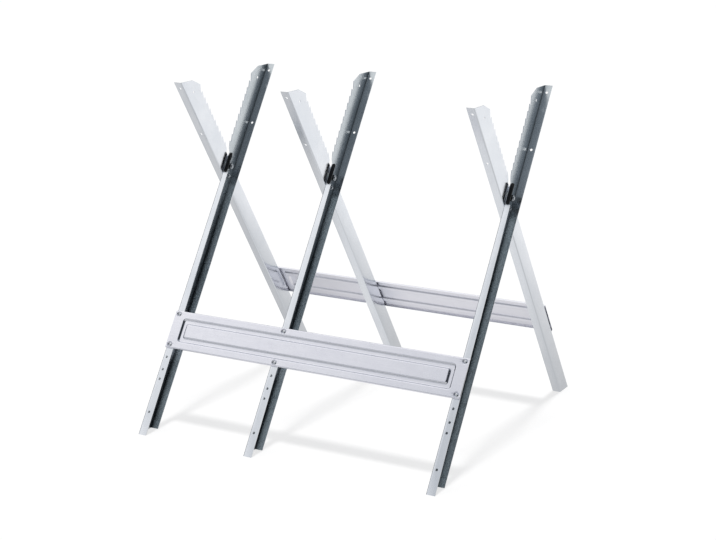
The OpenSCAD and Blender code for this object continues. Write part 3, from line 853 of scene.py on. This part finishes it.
bright_zinc = plated("bright_zinc_plating", PLATING, PLATING_SHADE, PLATING_ROUGH)
dome = [(SCREW_HEAD_D / 2 * math.sin(t),
         SCREW_HEAD_RIM + (SCREW_HEAD_H - SCREW_HEAD_RIM) * math.cos(t))
        for t in np.linspace(0, math.pi / 2, DOME_STEPS)]
screw_tip = -BAR_T - SHEET_T - SCREW_NUT_H - THREAD_OUT
screw = turned_on_axis([(0.0, SCREW_HEAD_H), *dome[1:], (SCREW_HEAD_D / 2, 0.0),
                        *shank_profile(SCREW_D, 0.0, screw_tip, THREAD_PITCH,
                                       screw_tip + THREAD_OUT)], pan_head)
screw_nut = ring_on_axis(nut_profile(SCREW_D, SCREW_NUT_AF, SCREW_NUT_H), hexagon(SCREW_NUT_AF))
for side in ("front", "rear"):
    for piece, node, lift in ((screw, "_bar_screws", BAR_T),
                              (screw_nut, "_bar_nuts", -SHEET_T - SCREW_NUT_H)):
        places = [at_screw(side, at, edge, lift)
                  for at in screw_places[side] for edge in (-1, 1)]
        made = make_mesh(side + node + "_plated", *place_copies(piece, places),
                         finishes=(bright_zinc,))
        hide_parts(side + node)
        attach(made, side + "_frame")

# A hexagon bolt through each crossing is the pivot, with a washer on each side and a locking
# nut. A smaller bolt under it is the stop, which runs in the slot of the rear leg.
PIVOT_D = 8.0
PIVOT_AF = 13.0
PIVOT_HEAD_H = 5.28
PIVOT_NUT_H = 8.0
STOP_D = 6.0
STOP_AF = 10.0
STOP_HEAD_H = 3.96
STOP_NUT_H = 6.0
WASHER_D = 24.0
WASHER_T = 1.6
STOP_PLAY = 0.4
PIVOT_PITCH = 1.25
STOP_PITCH = 1.0
BOLT_RINGS_PER_TURN = 6
PAST_NUT = 0.1
WASHER_BORE_EDGE = 0.15
WASHER_RIM_IN = 0.4
WASHER_RIM_UP = 0.3
BOLT_LIGHT = "#A9AEB3"
BOLT_SHADE = "#8F959B"
BOLT_ROUGH = 0.22


def at_crossing(name, centre, start):
    """Where a point of a bolt through the webs lies: its axis is X, from start outwards."""
    def place(points):
        local = np.stack([points[:, 2] + start, points[:, 0] + centre[0],
                          points[:, 1] + centre[1]], -1)
        return stand_leg(local, web_x[name], False)
    return place


def bolt(d, af, head_h, grip, nut_h, pitch):
    """A hexagon bolt with its head below z 0: flat top with turned corners, and a shank whose
    thread shows past the nut. Its profile goes up the axis, so its faces are turned round."""
    head = [(r, z - head_h) for r, z in turned_corner(af)]
    corner = head[-1][0]
    out_of_nut = grip + nut_h
    end = out_of_nut + THREAD_OUT
    count = int(THREAD_OUT / pitch * BOLT_RINGS_PER_TURN) + 2
    threads = [(d / 2, z) for z in np.linspace(out_of_nut, end - END_SHORT, count)]
    profile = [(0.0, -head_h), *head, (corner, 0.0), (d / 2, 0.0), *threads,
               (d / 2 - END_TAPER, end), (0.0, end)]

    def shape(r, a, z):
        r, z = hexagon(af)(r, a, z)
        turn = (z / pitch - a / (2 * math.pi)) % 1
        threaded = (z > out_of_nut + PAST_NUT) * (r > d / 2 - PAST_NUT)
        return r - THREAD_DEPTH * 2 * np.abs(turn - 0.5) * threaded, z
    points, faces = turned_on_axis(profile, shape)
    return points, [face[::-1] for face in faces]


def washer(bore):
    """A flat washer with slightly turned edges."""
    r = WASHER_D / 2
    lower = [(bore / 2, WASHER_BORE_EDGE), (bore / 2 + WASHER_BORE_EDGE, 0.0),
             (r - WASHER_RIM_IN, 0.0), (r, WASHER_RIM_UP)]
    return ring_on_axis(lower + [(out, WASHER_T - up) for out, up in lower[::-1]])


# The bolts, nuts and washers of the crossings are darker and rougher than the screws.
dull_zinc = plated("dull_plated_zinc", BOLT_LIGHT, BOLT_SHADE, BOLT_ROUGH)
pivot_grip = 2 * WASHER_T + 2 * SHEET_T + SPACER_T
stop_grip = 2 * SHEET_T + SPACER_T + STOP_PLAY
under_head = -SPACER_T - SHEET_T
fasteners = (
    ("pivot_bolts", PIVOT, under_head - WASHER_T,
     bolt(PIVOT_D, PIVOT_AF, PIVOT_HEAD_H, pivot_grip, PIVOT_NUT_H, PIVOT_PITCH)),
    ("pivot_nuts", PIVOT, SHEET_T + WASHER_T,
     ring_on_axis(nut_profile(PIVOT_D, PIVOT_AF, PIVOT_NUT_H), hexagon(PIVOT_AF))),
    ("nut_washers", PIVOT, SHEET_T, washer(PIVOT_D + STOP_PLAY)),
    ("head_washers", PIVOT, under_head - WASHER_T, washer(PIVOT_D + STOP_PLAY)),
    ("stop_bolts", STOP, under_head - STOP_PLAY,
     bolt(STOP_D, STOP_AF, STOP_HEAD_H, stop_grip, STOP_NUT_H, STOP_PITCH)),
    ("stop_nuts", STOP, SHEET_T,
     ring_on_axis(nut_profile(STOP_D, STOP_AF, STOP_NUT_H), hexagon(STOP_AF))))
for node, centre, start, piece in fasteners:
    places = [at_crossing(name, centre, start) for name in frame_names]
    made = make_mesh(node + "_plated", *place_copies(piece, places), finishes=(dull_zinc,))
    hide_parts(node)
    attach(made, "front_frame")

# A nylon washer keeps the two webs of each crossing apart, turned from natural nylon. It is
# milky and waxy, and light goes a little way into it.
NYLON = "#E6E4D8"
NYLON_IOR = 1.53
NYLON_HAZE_MM = 3.0
NYLON_SMOOTH = 0.40
NYLON_ROUGH = 0.55
NYLON_GLOW = 0.1
NYLON_GLOW_DEEP = 1.0
nylon = bpy.data.materials.new("natural_nylon")
nylon.use_nodes = True
tree = nylon.node_tree
tree.nodes.clear()
where = add_node(tree, "ShaderNodeTexCoord")
haze = add_node(tree, "ShaderNodeTexNoise", {"Scale": 1 / (NYLON_HAZE_MM * MM)},
                {"Vector": where.outputs["Object"]})
soft = add_node(tree, "ShaderNodeMapRange", {3: NYLON_SMOOTH, 4: NYLON_ROUGH},
                {0: haze.outputs["Fac"]})
skin = add_node(tree, "ShaderNodeBsdfPrincipled",
                {"Base Color": colour(NYLON), "IOR": NYLON_IOR, "Subsurface Weight": NYLON_GLOW,
                 "Subsurface Scale": NYLON_GLOW_DEEP * MM}, {"Roughness": soft.outputs[0]})
add_node(tree, "ShaderNodeOutputMaterial", {}, {0: skin.outputs[0]})
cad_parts["nylon_spacers"].data.materials.clear()
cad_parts["nylon_spacers"].data.materials.append(nylon)

# A guard of moulded black polypropylene goes on above the end of each front leg's front flange,
# where the two arms close like shears. A pegged lip holds it to the web. It has the half gloss
# and the faint grain of a moulded face.
GUARD_LEN = 52.0
GUARD_W = 10.5
GUARD_R = 4.2
GUARD_GAP = 0.5
GUARD_DEEP = 2.8
GUARD_EDGE = 0.7
FLUTE_W = 1.6
LIP_T = 4.0
LIP_W = 11.0
LIP_H = 11.6
LIP_R = 1.5
PEG_D = 4.0
BLACK_PLASTIC = "#08090B"
PLASTIC_WORN = "#14171A"
PLASTIC_IOR = 1.49
PLASTIC_ROUGH = 0.45
PLASTIC_GRAIN_MM = 1.2
PLASTIC_GRAIN_DEEP = 0.1
PLASTIC_GRAIN_SHARE = 0.4
SLAB_MIDDLE = 0.05
SHARPEST = 0.03
EDGE_STEPS = 7
FLUTE_STEPS = 9
PEG_BEYOND = 1.0
PEG_CHAMFER = 0.3


def moulded_slab(w, h, thick, r, flute=0.0):
    """A slab with round corners and edges, as rings from the middle of its front to the middle
    of its back. Each ring is a rounded rectangle, drawn in by the ring's inset: corner arcs
    round four centres. A flute is a round trough down the middle of the front."""
    turn = np.linspace(0, math.pi / 2, EDGE_STEPS)
    edge_in = GUARD_EDGE * (1 - np.sin(turn))
    edge_out = GUARD_EDGE * (1 - np.cos(turn))
    trough = np.linspace(math.pi / 2, math.pi, FLUTE_STEPS)[1:-1] if flute else np.array([])
    inset = np.concatenate([[w / 2 - SLAB_MIDDLE], w / 2 + flute / 2 * np.cos(trough), edge_in,
                            edge_in[::-1], [w / 2 - SLAB_MIDDLE]])
    depth = np.concatenate([[flute / 2], flute / 2 * np.sin(trough), edge_out,
                            thick - edge_out[::-1], [thick]])
    a = (np.arange(2 * RING_STEPS) + 0.5) * math.pi / RING_STEPS
    inset, a = np.meshgrid(inset, a, indexing="ij")
    round_r = np.clip(r - inset, SHARPEST, w / 2 - inset)
    x = (w / 2 - inset - round_r) * np.sign(np.cos(a)) + round_r * np.cos(a)
    y = (h / 2 - inset - round_r) * np.sign(np.sin(a)) + round_r * np.sin(a)
    rings = np.stack([x, np.broadcast_to(depth[:, None], x.shape), y], -1)
    return close_rings(rings, np.array([(0.0, flute / 2, 0.0), (0.0, thick, 0.0)]))


plastic = bpy.data.materials.new("moulded_polypropylene")
plastic.use_nodes = True
tree = plastic.node_tree
tree.nodes.clear()
where = add_node(tree, "ShaderNodeTexCoord")
grain = add_node(tree, "ShaderNodeTexNoise",
                 {"Scale": 1 / (PLASTIC_GRAIN_MM * MM), "Detail": 2.0},
                 {"Vector": where.outputs["Object"]})
tone = add_node(tree, "ShaderNodeMix",
                {"data_type": "RGBA", 6: colour(BLACK_PLASTIC), 7: colour(PLASTIC_WORN)},
                {0: grain.outputs["Fac"]})
bump = add_node(tree, "ShaderNodeBump",
                {"Strength": PLASTIC_GRAIN_SHARE, "Distance": PLASTIC_GRAIN_DEEP * MM},
                {"Height": grain.outputs["Fac"]})
skin = add_node(tree, "ShaderNodeBsdfPrincipled",
                {"Roughness": PLASTIC_ROUGH, "IOR": PLASTIC_IOR},
                {"Base Color": tone.outputs[2], "Normal": bump.outputs[0]})
add_node(tree, "ShaderNodeOutputMaterial", {}, {0: skin.outputs[0]})
guard_middle = -FLANGE_STOP + GUARD_GAP + GUARD_LEN / 2
pad, pad_faces = moulded_slab(GUARD_W - SHEET_T, GUARD_LEN, GUARD_DEEP, GUARD_R, FLUTE_W)
lip, lip_faces = moulded_slab(LIP_W, LIP_H, LIP_T, LIP_R)
peg_end = SHEET_T + PEG_BEYOND
peg, peg_faces = turned_on_axis([(0.0, peg_end), (PEG_D / 2, peg_end), (PEG_D / 2, PEG_CHAMFER),
                                 (PEG_D / 2 - PEG_CHAMFER, 0.0), (0.0, 0.0)])
pad = pad + (SHEET_T + (GUARD_W - SHEET_T) / 2, 0.0, guard_middle)
lip = np.stack([SHEET_T + LIP_T - lip[:, 1], PEG_HOLE[0] + lip[:, 0], PEG_HOLE[1] + lip[:, 2]], -1)
peg = np.stack([peg[:, 2], peg[:, 0] + PEG_HOLE[0], peg[:, 1] + PEG_HOLE[1]], -1)
guard_parts = [(pad, pad_faces), (lip, lip_faces), (peg, peg_faces)]
guard_points = np.concatenate([points for points, faces in guard_parts])
starts = np.cumsum([0] + [len(points) for points, faces in guard_parts])
guard_faces = [[k + first for k in face]
               for first, (points, faces) in zip(starts, guard_parts) for face in faces]
guard_places = [lambda points, n=name: stand_leg(points, web_x[n], False)
                for name in frame_names]
guards = make_mesh("pinch_guards_moulded",
                   *place_copies((guard_points, guard_faces), guard_places), finishes=(plastic,))
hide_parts("pinch_guards")
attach(guards, "front_frame")
